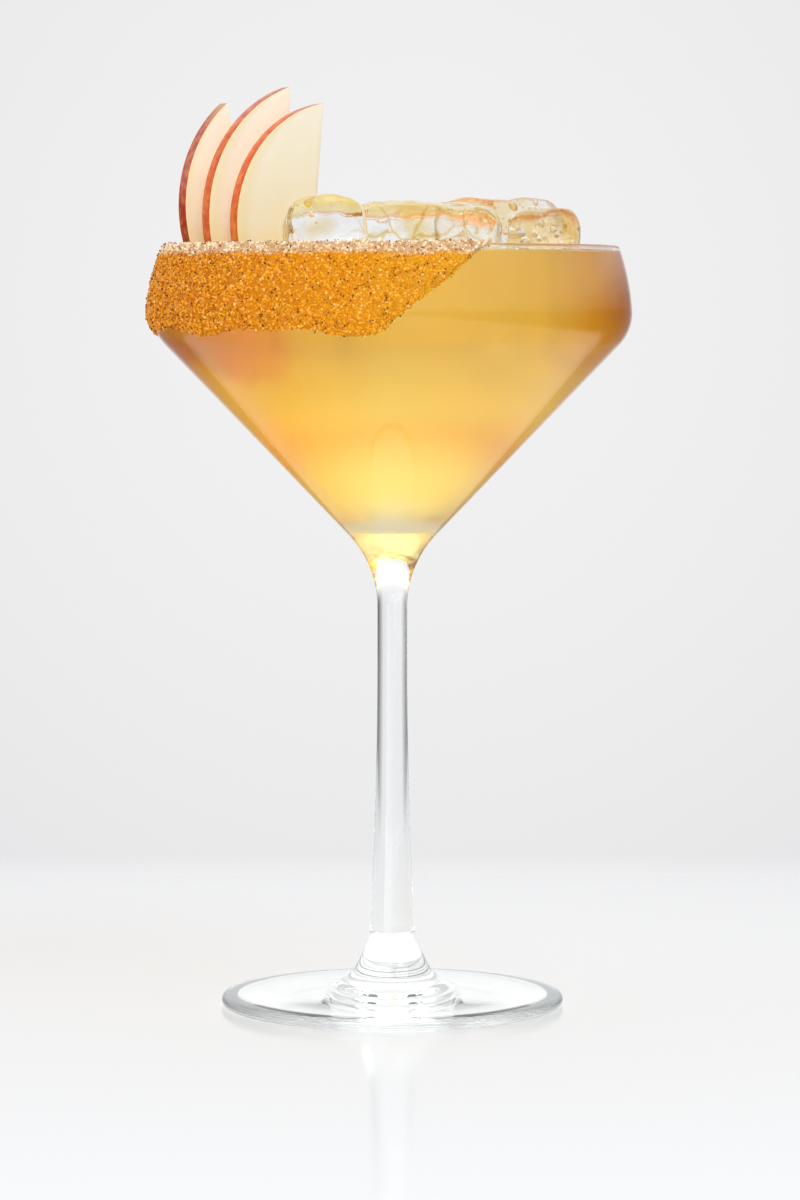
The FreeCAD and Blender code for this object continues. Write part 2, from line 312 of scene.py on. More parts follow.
def wall_points(glass, inset, steps=28):
    """The bowl's wall from the cone's top up to the lip, moved in by inset."""
    shoulder, upper, low, high = bowl_lines(glass)
    cone = -math.degrees(glass.cone_half_angle)
    points = arc_points(shoulder, glass.shoulder_radius - inset, cone, low, steps)
    return points + arc_points(upper, glass.upper_wall_radius - inset, low, high, steps)[1:]


def cone_height(glass, radius, inset):
    """The height of the bowl's cone at a radius."""
    shoulder = bowl_lines(glass)[0]
    angle = glass.cone_half_angle
    touch = glass.shoulder_radius - inset
    touch_radius = shoulder.x + touch * math.cos(angle)
    touch_height = shoulder.y - touch * math.sin(angle)
    return touch_height - (touch_radius - radius) / math.tan(angle)


def bottom_points(glass, inset, steps=20):
    """The rounded bottom of the bowl's inside, from the axis outwards."""
    rounding = glass.bottom_radius + glass.wall - inset
    height = cone_height(glass, 0, inset) + rounding / math.sin(glass.cone_half_angle)
    cone = -math.degrees(glass.cone_half_angle)
    points = arc_points((0, height), rounding, -90, cone, steps)
    return [(0, points[0][1])] + points[1:]


def between(start, end, steps):
    """Points of a straight stretch, without its ends."""
    start, end = Vector(start), Vector(end)
    return [tuple(start.lerp(end, step / steps)) for step in range(1, steps)]


def glass_profile(glass):
    """The glass's closed outline, from the hollow of the foot up and back in."""
    ring = glass.foot_radius - glass.foot_edge / 2
    ring_inside = ring - CONTACT_RING
    hollow_radius = (ring_inside ** 2 + glass.foot_hollow ** 2) / (2 * glass.foot_hollow)
    hollow_angle = math.degrees(math.asin(ring_inside / hollow_radius))
    hollow = arc_points(
        (0, glass.foot_hollow - hollow_radius), hollow_radius, 90, 90 - hollow_angle, 16)
    points = [(0, glass.foot_hollow)] + hollow[1:]
    slope_degrees = math.degrees(glass.foot_slope)
    edge_centre = (ring, glass.foot_edge / 2)
    points += arc_points(edge_centre, glass.foot_edge / 2, -90, 90 - slope_degrees, 16)

    edge_top = Vector(points[-1])
    boss_top = Vector((glass.stem_foot_radius + glass.joint_ledge, glass.joint_height))
    top_way = Vector((-math.cos(glass.foot_slope), math.sin(glass.foot_slope)))
    boss_way = Vector((-math.sin(glass.boss_angle), math.cos(glass.boss_angle)))
    rise = boss_top - edge_top
    crossing = top_way.x * boss_way.y - top_way.y * boss_way.x
    corner = edge_top + top_way * ((rise.x * boss_way.y - rise.y * boss_way.x) / crossing)
    opening = math.pi / 2 - glass.boss_angle - glass.foot_slope
    top_end = corner - top_way * (glass.boss_radius * math.tan(opening / 2))
    top_normal = Vector((math.sin(glass.foot_slope), math.cos(glass.foot_slope)))
    centre = top_end + top_normal * glass.boss_radius
    points += between(edge_top, top_end, 12)
    boss_degrees = math.degrees(glass.boss_angle)
    points += arc_points(centre, glass.boss_radius, -90 - slope_degrees, -180 + boss_degrees, 20)
    points += between(points[-1], boss_top, 4) + [tuple(boss_top)]

    stem_foot = Vector((glass.stem_foot_radius, glass.joint_height + glass.joint_ledge))
    stem_rise = glass.waist_height - stem_foot.y
    spread = stem_foot.x - glass.waist_radius
    stem_radius = (stem_rise ** 2 + spread ** 2) / (2 * spread)
    stem_angle = math.degrees(math.asin(stem_rise / stem_radius))
    stem_centre = (glass.waist_radius + stem_radius, glass.waist_height)
    points += arc_points(stem_centre, stem_radius, 180 + stem_angle, 180, 24)
    cone_degrees = math.degrees(glass.cone_half_angle)
    flare_reach = glass.flare_radius * math.tan(glass.cone_half_angle / 2)
    flare_start = cone_height(glass, glass.waist_radius, 0) - flare_reach
    flare_centre = (glass.waist_radius + glass.flare_radius, flare_start)
    points += arc_points(flare_centre, glass.flare_radius, 180, 180 - cone_degrees, 24)

    outside = wall_points(glass, 0)
    points += between(points[-1], outside[0], 20) + outside
    high = math.radians(bowl_lines(glass)[3])
    lip_centre = Vector(outside[-1]) - Vector((math.cos(high), math.sin(high))) * (glass.wall / 2)
    lip = arc_points(
        lip_centre, glass.wall / 2, math.degrees(high), math.degrees(high) + 180, 10)
    points += lip[1:-1]
    inside = wall_points(glass, glass.wall)
    bottom = bottom_points(glass, glass.wall)
    points += inside[::-1] + between(inside[0], bottom[-1], 20) + bottom[::-1]
    return points


# -------------------------------------------------------------------- materials
def object_place(tree):
    """The place on a piece, in object coordinates."""
    return node(tree, "ShaderNodeTexCoord").outputs["Object"]


def axes(tree, place):
    """The X, Y and Z of a place."""
    return node(tree, "ShaderNodeSeparateXYZ", None, Vector=place).outputs


def attribute(tree, name):
    """The value of a mesh attribute."""
    return node(tree, "ShaderNodeAttribute", {"attribute_name": name}).outputs["Fac"]


def bumped(tree, strength, distance, height):
    """The normal that a height gives."""
    bump = node(tree, "ShaderNodeBump", {"Strength": strength, "Distance": distance},
                Height=height)
    return bump.outputs["Normal"]


def surface(tree, output, settings, **links):
    """Makes a principled shader the surface of a material."""
    shader = node(tree, "ShaderNodeBsdfPrincipled", settings, **links)
    tree.links.new(shader.outputs[0], output.inputs["Surface"])


def clear_surface(tree, output, code, settings, **links):
    """Makes a clear principled shader the surface of a material.

    The lamps' light passes it, in a colour, to what stands behind it or in it.
    """
    shader = node(tree, "ShaderNodeBsdfPrincipled", settings, **links)
    path = node(tree, "ShaderNodeLightPath")
    clear = node(tree, "ShaderNodeBsdfTransparent", {"Color": srgb(code)})
    both = node(tree, "ShaderNodeMixShader", None, Fac=path.outputs["Is Shadow Ray"],
                i1=shader.outputs[0], i2=clear.outputs[0])
    tree.links.new(both.outputs[0], output.inputs["Surface"])


def soda_lime_glass():
    """Soda-lime glass, blown and fire polished: clear, smooth, sharp reflections."""
    material, tree, output = new_material("soda_lime_glass")
    clear_surface(tree, output, "F6F8F7", {
        "Base Color": srgb("FBFDFD"), "Roughness": 0.0, "IOR": 1.5, "Specular IOR Level": 0.3,
        "Transmission Weight": 1.0})
    return material


def amber_drink(drink):
    """Rum, apple juice and cinnamon syrup: amber, lighter towards the bottom.

    It is deepest by the sugar rim, a painted glow, and at the right edge, painted shade.
    """
    material, tree, output = new_material("amber_drink")
    place = object_place(tree)
    parts = axes(tree, place)
    across = span(tree, parts["X"], -BOWL_RADIUS, BOWL_RADIUS)
    # Painted light: glow through the sugar rim at the left, painted shade at the right edge.
    upper = tone(tree, across, (0.0, "FFC408"), (0.25, "FFC014"), (0.5, "FFCE60"),
                 (0.8, "FFCE58"), (0.9, "F09C04"), (1.0, "DC7C00"))
    # Painted light: glow at the left, and near white in the middle is a painted reflection.
    lower = tone(tree, across, (0.0, "FFAC08"), (0.3, "FFD420"), (0.48, "FFF3D0"), (1.0, "FFD48C"))
    share = span(tree, parts["Z"], DRINK_LEVEL - 34 * MM, DRINK_LEVEL - 20 * MM)
    wall = attribute(tree, "at_wall")
    tint = mixed(tree, wall, srgb("FFFFFF"), mixed(tree, share, lower, upper))
    haze = node(tree, "ShaderNodeMapRange", {"To Min": 0.03, "To Max": 0.34}, Value=wall)
    clear_surface(tree, output, "F8D8A0", {
        "IOR": 1.345, "Specular IOR Level": 0.1, "Transmission Weight": 1.0},
        Base_Color=tint, Roughness=haze.outputs["Result"])
    absorption = node(tree, "ShaderNodeVolumeAbsorption", {
        "Color": (*drink.colour, 1.0), "Density": drink.density})
    tree.links.new(absorption.outputs[0], output.inputs["Volume"])
    return material


def melting_ice(name, roughness, patch_threshold):
    """Wet, melting ice: smooth where it is clear, pitted where it is clouded.

    Above the drink its ridges and patches are painted amber, a painted refraction of the drink.
    """
    material, tree, output = new_material(name)
    place = object_place(tree)
    ripple = node(tree, "ShaderNodeTexNoise", {"Scale": 220.0, "Detail": 3.0},
                  Vector=place)
    bend = node(tree, "ShaderNodeTexNoise", {"Scale": 130.0}, Vector=place)
    away = node(tree, "ShaderNodeVectorMath", {"operation": "SCALE", "Scale": 7 * MM},
                Vector=bend.outputs["Color"])
    bent = node(tree, "ShaderNodeVectorMath", {"operation": "ADD"},
                i0=place, i1=away.outputs["Vector"])
    ridge = node(tree, "ShaderNodeTexVoronoi", {"feature": "DISTANCE_TO_EDGE", "Scale": 105.0},
                 Vector=bent.outputs["Vector"])
    # Painted refraction: amber along the melted ridges stands for the drink seen through the ice.
    line = tone(tree, ridge.outputs["Distance"], (0.0, "D8A848"), (0.02, "EED090"),
                (0.05, "FDF8E8"), (0.1, "FDFEFE"))
    amber_patch_noise = node(tree, "ShaderNodeTexNoise", {"Scale": 75.0}, Vector=place)
    lines = mixed(tree, span(tree, amber_patch_noise.outputs["Fac"], 0.42, 0.54), line, srgb("FDFEFE"))
    # Painted amber patches: the lower the threshold, the more of the ice they cover.
    painted_amber_patches = span(tree, amber_patch_noise.outputs["Fac"], patch_threshold, patch_threshold + 0.12)
    wet = mixed(tree, painted_amber_patches, lines, srgb("F4D690"))
    height = axes(tree, place)["Z"]
    above = span(tree, height, DRINK_LEVEL - 1 * MM, DRINK_LEVEL + 0.5 * MM)
    tint = mixed(tree, above, srgb("FDFEFE"), wet)
    normal = bumped(tree, 0.25, 0.4 * MM, ripple.outputs["Fac"])
    clear_surface(tree, output, "F8FAFA", {
        "Roughness": roughness, "IOR": 1.31, "Transmission Weight": 1.0},
        Base_Color=tint, Normal=normal)
    return material


def tone(tree, value, *stops):
    """A colour ramp over a value. Each stop is a position and a hex code."""
    ramp = node(tree, "ShaderNodeValToRGB", None, Fac=value)
    elements = ramp.color_ramp.elements
    elements.remove(elements[1])
    elements[0].position = stops[0][0]
    elements[0].color = srgb(stops[0][1])
    for position, code in stops[1:]:
        elements.new(position).color = srgb(code)
    return ramp.outputs["Color"]


def span(tree, value, low, high):
    """A value as a share of the way from low to high."""
    shifted = node(tree, "ShaderNodeMapRange", {"From Min": low, "From Max": high}, Value=value)
    return shifted.outputs["Result"]


def mixed(tree, share, first, second, blend="MIX"):
    """One colour over another."""
    mix = node(tree, "ShaderNodeMix", {"data_type": "RGBA", "blend_type": blend})
    for socket, value in ((0, share), (6, first), (7, second)):
        if isinstance(value, (float, tuple)):
            mix.inputs[socket].default_value = value
        else:
            tree.links.new(value, mix.inputs[socket])
    return mix.outputs[2]


def apple_flesh():
    """Cut apple: cream, wet and a little see-through, warmer towards the drink."""
    material, tree, output = new_material("cut_apple_flesh")
    place = object_place(tree)
    height = axes(tree, place)["Z"]
    cells = node(tree, "ShaderNodeTexVoronoi", {"Scale": 900.0}, Vector=place)
    cloud = node(tree, "ShaderNodeTexNoise", {"Scale": 90.0, "Detail": 3.0}, Vector=place)
    rise = span(tree, height, DRINK_LEVEL + 1 * MM, DRINK_LEVEL + 34 * MM)
    base = tone(tree, rise, (0.0, "FCDC98"), (0.2, "FFEBC4"), (1.0, "FFF4DC"))
    patchy = mixed(tree, cloud.outputs["Fac"], base, srgb("FFF8E6"))
    edge = attribute(tree, "skin_share")
    near_skin = tone(tree, edge, (0.0, "000000"), (0.8, "000000"), (1.0, "B0B0B0"))
    colour = mixed(tree, near_skin, patchy, srgb("F3D788"))
    normal = bumped(tree, 0.25, 0.12 * MM, cells.outputs["Distance"])
    surface(tree, output, {
        "Roughness": 0.38, "IOR": 1.4, "Subsurface Weight": 0.2, "Subsurface Scale": 0.8 * MM,
        "Subsurface Radius": (1.0, 0.8, 0.5)}, Base_Color=colour, Normal=normal)
    return material


def soaked_apple():
    """Apple under the drink: soaked, so that light comes through it."""
    material, tree, output = new_material("soaked_apple")
    place = object_place(tree)
    cloud = node(tree, "ShaderNodeTexNoise", {"Scale": 90.0, "Detail": 3.0}, Vector=place)
    colour = mixed(tree, cloud.outputs["Fac"], srgb("FFDCA0"), srgb("FFF0CC"))
    clear_surface(tree, output, "F8E0B0", {
        "Roughness": 0.5, "IOR": 1.345, "Specular IOR Level": 0.1,
        "Transmission Weight": 0.9}, Base_Color=colour)
    return material


def apple_skin(name, tip, middle, low):
    """Waxy apple skin, red or orange with fine streaks, green towards its tips."""
    material, tree, output = new_material(name)
    place = object_place(tree)
    height = axes(tree, place)["Z"]
    rise = span(tree, height, DRINK_LEVEL, DRINK_LEVEL + 38 * MM)
    base = tone(tree, rise, (0.0, low), (0.45, middle), (0.78, middle), (1.0, tip))
    streak = node(tree, "ShaderNodeTexNoise", {"Scale": 600.0, "Detail": 4.0}, Vector=place)
    shares = span(tree, streak.outputs["Fac"], 0.4, 0.7)
    colour = mixed(tree, shares, mixed(tree, 0.25, base, srgb("8C1808")),
                   mixed(tree, 0.3, base, srgb("FFB850")))
    surface(tree, output, {
        "Roughness": 0.3, "IOR": 1.42, "Coat Weight": 0.15, "Coat Roughness": 0.15},
        Base_Color=colour)
    return material


def crust_colour(tree, place):
    """Sugar paste: pale above the drink; amber below, a painted glow of the drink's light."""
    parts = axes(tree, place)
    patch = node(tree, "ShaderNodeTexNoise", {"Scale": 120.0, "Detail": 4.0}, Vector=place)
    lift = node(tree, "ShaderNodeMath", {"operation": "MULTIPLY_ADD", 1: 3.0 * MM, 2: -1.5 * MM},
                i0=patch.outputs["Fac"])
    height = node(tree, "ShaderNodeMath", {"operation": "ADD"},
                  i0=parts["Z"], i1=lift.outputs[0])
    above_drink = span(tree, height.outputs[0], DRINK_LEVEL - 0.8 * MM, DRINK_LEVEL + 0.3 * MM)
    across = span(tree, parts["X"], -BOWL_RADIUS, 0.3 * BOWL_RADIUS)
    # Painted glow of the drink's light through the sugar: deeper orange at the left.
    wet = tone(tree, across, (0.0, "CC7608"), (0.3, "DE900A"), (0.65, "E8A40C"), (1.0, "EEB828"))
    return wet, above_drink


def sugar_paste():
    """Moist brown sugar and cinnamon: grainy, rough, a little see-through."""
    material, tree, output = new_material("moist_cinnamon_sugar")
    place = object_place(tree)
    wet, above_drink = crust_colour(tree, place)
    # Painted glow below the drink's level, the paste's own pale colour above it.
    colour = mixed(tree, above_drink, wet, srgb("E4C498"))
    grit = node(tree, "ShaderNodeTexVoronoi", {"Scale": 2400.0}, Vector=place)
    # Painted shade: darker towards the gaps between the grains, where shade falls.
    dark = span(tree, grit.outputs["Distance"], 0.1, 0.7)
    shade = mixed(tree, dark, colour, mixed(tree, 0.5, colour, srgb("D89040"), "MULTIPLY"))
    normal = bumped(tree, 0.8, 0.3 * MM, grit.outputs["Distance"])
    surface(tree, output, {
        "Roughness": 0.55, "IOR": 1.5, "Specular IOR Level": 0.15},
        Base_Color=shade, Normal=normal)
    return material


def sugar_crystals():
    """Loose sugar crystals: each glassy, some white, most amber from stain and painted glow."""
    material, tree, output = new_material("stained_sugar_crystals")
    place = object_place(tree)
    wet, above_drink = crust_colour(tree, place)
    chance = attribute(tree, "grain_tone")
    stain = tone(tree, chance, (0.0, "B46408"), (0.3, "E09010"), (0.75, "F2AC18"),
                 (0.93, "FFC440"), (1.0, "FFE4A0"))
    white = tone(tree, chance, (0.0, "BC8848"), (0.4, "E4C898"), (1.0, "FFF4E0"))
    # Below the drink a third of each grain's colour is painted glow, the rest its own stain.
    light = mixed(tree, above_drink, mixed(tree, 0.65, wet, stain), white)
    surface(tree, output, {
        "Roughness": 0.25, "IOR": 1.54, "Specular IOR Level": 0.25}, Base_Color=light)
    return material


def ground_cinnamon():
    """Ground cinnamon bark: small dull brown flakes."""
    material, tree, output = new_material("ground_cinnamon")
    chance = attribute(tree, "grain_tone")
    colour = tone(tree, chance, (0.0, "2A1004"), (0.6, "5A2A0C"), (1.0, "A4561C"))
    surface(tree, output, {"Roughness": 0.8}, Base_Color=colour)
    return material


# ---------------------------------------------------------------------- builders
class COCKTAIL_OT_glass(bpy.types.Operator):
    """Builds the stemmed glass"""
    bl_idname = "cocktail.glass"
    bl_label = "Glass"

    def execute(self, context):
        glass = context.scene.cocktail_glass
        mesh = lathe(glass_profile(glass), glass.segments, "glass_body")
        mesh.materials.append(soda_lime_glass())
        add_piece("glass_body", mesh, ["glass"])
        return {"FINISHED"}


def drink_outline(glass, drink):
    """The drink's side, from the bottom of the bowl up to where it meets the wall."""
    inset = glass.wall - drink.into_wall
    bottom = bottom_points(glass, inset)
    wall = [p for p in wall_points(glass, inset) if p[1] < DRINK_LEVEL + drink.climb]
    return bottom + between(bottom[-1], wall[0], 20) + wall


def near_wall(place, outline):
    """Whether a place on the drink lies against the glass."""
    reach = math.hypot(place.x, place.y)
    for (inner, low), (outer, high) in zip(outline, outline[1:]):
        if low <= place.z <= high:
            share = (place.z - low) / max(high - low, 1e-9)
            return reach > inner + (outer - inner) * share - NEAR_WALL
    return place.z < outline[0][1]


def drink_mesh(glass, drink):
    """The drink from the bottom of the bowl up to its surface, without cuts."""
    points = drink_outline(glass, drink)
    edge = points[-1][0]
    width = 3.2 * drink.climb
    for step in range(1, 13):
        inward = edge - width * step / 12
        points.append((inward, DRINK_LEVEL + drink.climb * math.exp(-5.0 * step / 12)))
    points += between(points[-1], (0, DRINK_LEVEL), 6) + [(0, DRINK_LEVEL)]
    return lathe(points, glass.segments, "drink_body")


def shrunk(piece, distance):
    """A copy of a piece, each vertex moved in along its normal."""
    mesh = piece.data.copy()
    normals = [vertex.normal.copy() for vertex in mesh.vertices]
    for vertex, normal in zip(mesh.vertices, normals):
        vertex.co -= normal * distance
    return loose_object(piece.name + "_cutter", mesh)


class COCKTAIL_OT_drink(bpy.types.Operator):
    """Fills the glass, round the ice and the apple slices"""
    bl_idname = "cocktail.drink"
    bl_label = "Drink"

    def execute(self, context):
        glass = context.scene.cocktail_glass
        drink = context.scene.cocktail_drink
        body = loose_object("drink_work", drink_mesh(glass, drink))
        cutters = []
        for piece in list(context.scene.objects):
            if piece.name.startswith(("ice_block", "apple_wedge")):
                cutters.append(shrunk(piece, INTO_PIECES))
        for cutter in cutters:
            cut = body.modifiers.new("cut", "BOOLEAN")
            cut.operation = "DIFFERENCE"
            cut.solver = "EXACT"
            cut.object = cutter
        mesh = applied(body, "drink_body")
        for cutter in cutters:
            bpy.data.objects.remove(cutter)
        mesh.materials.clear()
        mesh.materials.append(amber_drink(drink))
        edge = drink_outline(glass, drink)
        at_wall = mesh.attributes.new("at_wall", "FLOAT", "FACE")
        for face in mesh.polygons:
            face.material_index = 0
            at_wall.data[face.index].value = 1.0 if near_wall(face.center, edge) else 0.0
        add_piece("drink_body", mesh, ["drink"])
        mesh.set_sharp_from_angle(angle=math.radians(35))
        return {"FINISHED"}


def worn(mesh, seed, melt):
    """Moves the points of an ice block in, to give it melted hollows and ridges."""
    offset = Vector((seed * 7.3, seed * 1.7, seed * 3.1))
    moves = []
    for vertex in mesh.vertices:
        broad = noise.noise(vertex.co / (9 * MM) + offset)
        middle = noise.noise(vertex.co / (4.2 * MM) + offset)
        fine = noise.noise(vertex.co / (1.9 * MM) + offset)
        moves.append(melt * (0.5 + 0.6 * broad + 0.34 * middle + 0.09 * fine))
    normals = [vertex.normal.copy() for vertex in mesh.vertices]
    for vertex, normal, move in zip(mesh.vertices, normals, moves):
        vertex.co -= normal * max(0.0, move)


class COCKTAIL_OT_ice(bpy.types.Operator):
    """Shapes the blocks of melting ice"""
    bl_idname = "cocktail.ice"
    bl_label = "Ice"

    def execute(self, context):
        ice = context.scene.cocktail_ice
        clear = melting_ice("clear_melting_ice", 0.01, 0.58)
        # This block has a lower threshold, so more painted amber patches.
        stained = melting_ice("clear_stained_ice", 0.01, 0.48)
        clouded = melting_ice("clouded_melting_ice", 0.2, 0.48)
        blocks = sorted(name[4:] for name in frame["nodes"] if name.startswith("ice_"))
        for seed, name in enumerate(blocks):
            material = {"left": clear, "middle": stained}.get(name, clouded)
            source = frame["nodes"]["ice_" + name].data
            work = bmesh.new()
            work.from_mesh(source)
            bmesh.ops.remove_doubles(work, verts=work.verts, dist=0.002 * MM)
            block = loose_object("ice_work", finished(work, "ice_work"))
            remesh = block.modifiers.new("remesh", "REMESH")
            remesh.mode = "VOXEL"
            remesh.voxel_size = ice.voxel
            smooth = block.modifiers.new("smooth", "SMOOTH")
            smooth.iterations = 12
            mesh = applied(block, "ice_block_" + name)
            worn(mesh, seed + 1, ice.melt)
            mesh.materials.clear()
            mesh.materials.append(material)
            add_piece("ice_block_" + name, mesh, ["ice_" + name])
        return {"FINISHED"}


def add_bubbles(mesh, count, largest, rarity, seed):
    """Hollows out round bubbles of air in ice. Rarity is how few of them are large."""
    tree = BVHTree.FromPolygons(
        [vertex.co for vertex in mesh.vertices], [tuple(face.vertices) for face in mesh.polygons])
    low = Vector(min(vertex.co[i] for vertex in mesh.vertices) for i in range(3))
    high = Vector(max(vertex.co[i] for vertex in mesh.vertices) for i in range(3))
    work = bmesh.new()
    work.from_mesh(mesh)
    noise.seed_set(seed)
    made = 0
    for _ in range(count * 12):
        radius = largest * (0.12 + 0.88 * noise.random() ** rarity)
        place = Vector(low[i] + (high[i] - low[i]) * noise.random() for i in range(3))
        outside, normal, _, away = tree.find_nearest(place)
        if made == count:
            break
        if away < radius + BUBBLE_COVER or (outside - place).dot(normal) < 0:
            continue
        detail = 3 if radius > 0.5 * largest else 2 if radius > 0.25 * largest else 1
        ball = bmesh.ops.create_icosphere(
            work, subdivisions=detail, radius=radius, matrix=Matrix.Translation(place))
        faces = {face for vertex in ball["verts"] for face in vertex.link_faces}
        bmesh.ops.reverse_faces(work, faces=list(faces))
        for face in faces:
            face.smooth = True
        made += 1
    work.to_mesh(mesh)
    work.free()


class COCKTAIL_OT_bubbles(bpy.types.Operator):
    """Puts air bubbles into the ice, once the drink is cut round the blocks"""
    bl_idname = "cocktail.bubbles"
    bl_label = "Air bubbles"

    def execute(self, context):
        ice = context.scene.cocktail_ice
        blocks = [piece for piece in context.scene.objects if piece.name.startswith("ice_block")]
        for seed, piece in enumerate(sorted(blocks, key=lambda block: block.name)):
            clear = piece.data.materials[0].name.startswith("clear")
            count = ice.clear_count if clear else ice.clouded_count
            add_bubbles(piece.data, count, ice.bubble, 1.5 if clear else 9, seed + 3)
        return {"FINISHED"}


def slice_places(apple):
    """Each slice's matrix. The slices lie flat on one another and fan out."""
    pitch = apple.thickness + apple.gap
    y = apple.last_y
    places = []
    after = None
    for _, _, across, height, lean in reversed(SLICES):
        if after is not None:
            slide = ((after - across) * MM - pitch * math.sin(apple.turn)) / math.cos(apple.turn)
            y += pitch * math.cos(apple.turn) - slide * math.sin(apple.turn)
        after = across
        middle = Vector((across * MM, y, DRINK_LEVEL + height * MM))
        turn = Matrix.Rotation(apple.turn, 4, "Z") @ Matrix.Rotation(math.radians(-lean), 4, "Y")
        places.insert(0, Matrix.Translation(middle) @ turn)
    return places


def slice_mesh(apple, length, depth, seed, name):
    """A slice in its own plane: rows run from its cut edge to its skin."""
    half, depth = length * MM / 2, depth * MM
    radius = (half ** 2 + depth ** 2) / (2 * depth)
    reach = math.asin(half / radius)
    rows, columns = 72, 16
    mesh = bmesh.new()
    share = mesh.verts.layers.float.new("skin_share")

    def point(row, column, side):
        """A point of a face. Side is -1 for the front face and 1 for the back."""
        angle = reach * (2 * row / rows - 1)
        skin_x = radius - depth - radius * math.cos(angle)
        height = radius * math.sin(angle)
        part = column / columns
        wave = 0.12 * MM * noise.noise(Vector((height * 90, part * 2, seed)))
        return Vector((skin_x * part, side * apple.thickness / 2 + wave * part, height))

    faces = {}
    for side in (-1, 1):
        for row in range(rows + 1):
            for column in range(columns + 1):
                vertex = mesh.verts.new(point(row, column, side))
                vertex[share] = column / columns
                faces[side, row, column] = vertex
    for row in range(rows):
        for column in range(columns):
            for side in (-1, 1):
                corners = [faces[side, row, column], faces[side, row, column + 1],
                           faces[side, row + 1, column + 1], faces[side, row + 1, column]]
                mesh.faces.new(corners if side < 0 else corners[::-1])
        for column, order in ((0, 1), (columns, -1)):
            strip = [faces[-1, row, column], faces[-1, row + 1, column],
                     faces[1, row + 1, column], faces[1, row, column]]
            face = mesh.faces.new(strip[::order])
            face.material_index = 1 if column else 0
    bmesh.ops.remove_doubles(mesh, verts=mesh.verts, dist=0.004 * MM)
    loose = [face for face in mesh.faces if face.calc_area() < 1e-12]
    bmesh.ops.delete(mesh, geom=loose, context="FACES_ONLY")
    bmesh.ops.holes_fill(mesh, edges=[e for e in mesh.edges if len(e.link_faces) == 1], sides=8)
    bmesh.ops.recalc_face_normals(mesh, faces=mesh.faces)
    return finished(mesh, name)


class COCKTAIL_OT_apple(bpy.types.Operator):
    """Cuts and fans the apple slices"""
    bl_idname = "cocktail.apple"
    bl_label = "Apple slices"

    def execute(self, context):
        apple = context.scene.cocktail_apple
        flesh, soaked = apple_flesh(), soaked_apple()
        skins = (apple_skin("rose_apple_skin", "DCD480", "B83C30", "A83410"),
                 apple_skin("orange_apple_skin", "C84028", "D84810", "D85404"),
                 apple_skin("red_apple_skin", "B84028", "E04C14", "E06804"))
        places = slice_places(apple)
        for number, (length, depth, *_) in enumerate(SLICES):
            name = "apple_wedge_%d" % (number + 1)
            flat = slice_mesh(apple, length, depth, number, name)
            flat.materials.append(flesh)
            flat.materials.append(skins[number])
            flat.materials.append(soaked)
            work = loose_object(name + "_work", flat)
            round_edges = work.modifiers.new("round", "BEVEL")
            round_edges.width = apple.edge
            round_edges.segments = 2
            round_edges.limit_method = "ANGLE"
            round_edges.angle_limit = math.radians(50)
            mesh = applied(work, name)
            mesh.transform(places[number])
            for face in mesh.polygons:
                if face.center.z < DRINK_LEVEL - SOAKED_BELOW:
                    face.material_index = 2
            add_piece(name, mesh, ["apple_slice_%d" % (number + 1)])
            mesh.set_sharp_from_angle(angle=math.radians(50))
        return {"FINISHED"}


def crust_edge(crust, angle):
    """The height of the crust's lower edge, with an angle of 0 at the front."""
    centre = (crust.start + crust.end) / 2
    half_span = (crust.end - crust.start) / 2
    away = abs((angle - centre + math.pi) % (2 * math.pi) - math.pi)
    rise = max(0.0, away - half_span + crust.end_slant) * crust.depth / crust.end_slant
    ripple = crust.ripple * (math.sin(9 * angle) + 0.6 * math.sin(17 * angle + 1))
    crumbly = 0.5 * MM * noise.noise(Vector((angle * 40, 0, 0)))
    crumbly += 0.35 * MM * noise.noise(Vector((angle * 130, 0, 5)))
    return GLASS_HEIGHT - crust.depth + rise + ripple + crumbly


def crust_path(glass, crust):
    """The way from the cone over the wall to the lip's inside.

    Each point has its outward direction and the crust's thickness there.
    """
    shoulder, upper, low, high = bowl_lines(glass)
    cone = -math.degrees(glass.cone_half_angle)
    path = []
    for step in range(31):
        angle = math.radians(cone + (low - cone) * step / 30)
        way = Vector((math.cos(angle), math.sin(angle)))
        rise = (crust.at_rim + crust.at_shoulder) / 2
        thick = rise + (crust.at_shoulder - rise) * min(1.0, step / 15)
        path.append((shoulder + way * glass.shoulder_radius, way, thick))
    for step in range(1, 41):
        angle = math.radians(low + (high - low) * step / 40)
        way = Vector((math.cos(angle), math.sin(angle)))
        thick = crust.at_shoulder + (crust.at_rim - crust.at_shoulder) * step / 40
        path.append((upper + way * glass.upper_wall_radius, way, thick))
    lip_centre = path[-1][0] - path[-1][1] * (glass.wall / 2)
    for step in range(1, 9):
        angle = math.radians(high + (CRUST_TURN - high) * step / 8)
        way = Vector((math.cos(angle), math.sin(angle)))
        thick = crust.at_rim * (1 - 0.25 * step / 8)
        path.append((lip_centre + way * (glass.wall / 2), way, thick))
    return path


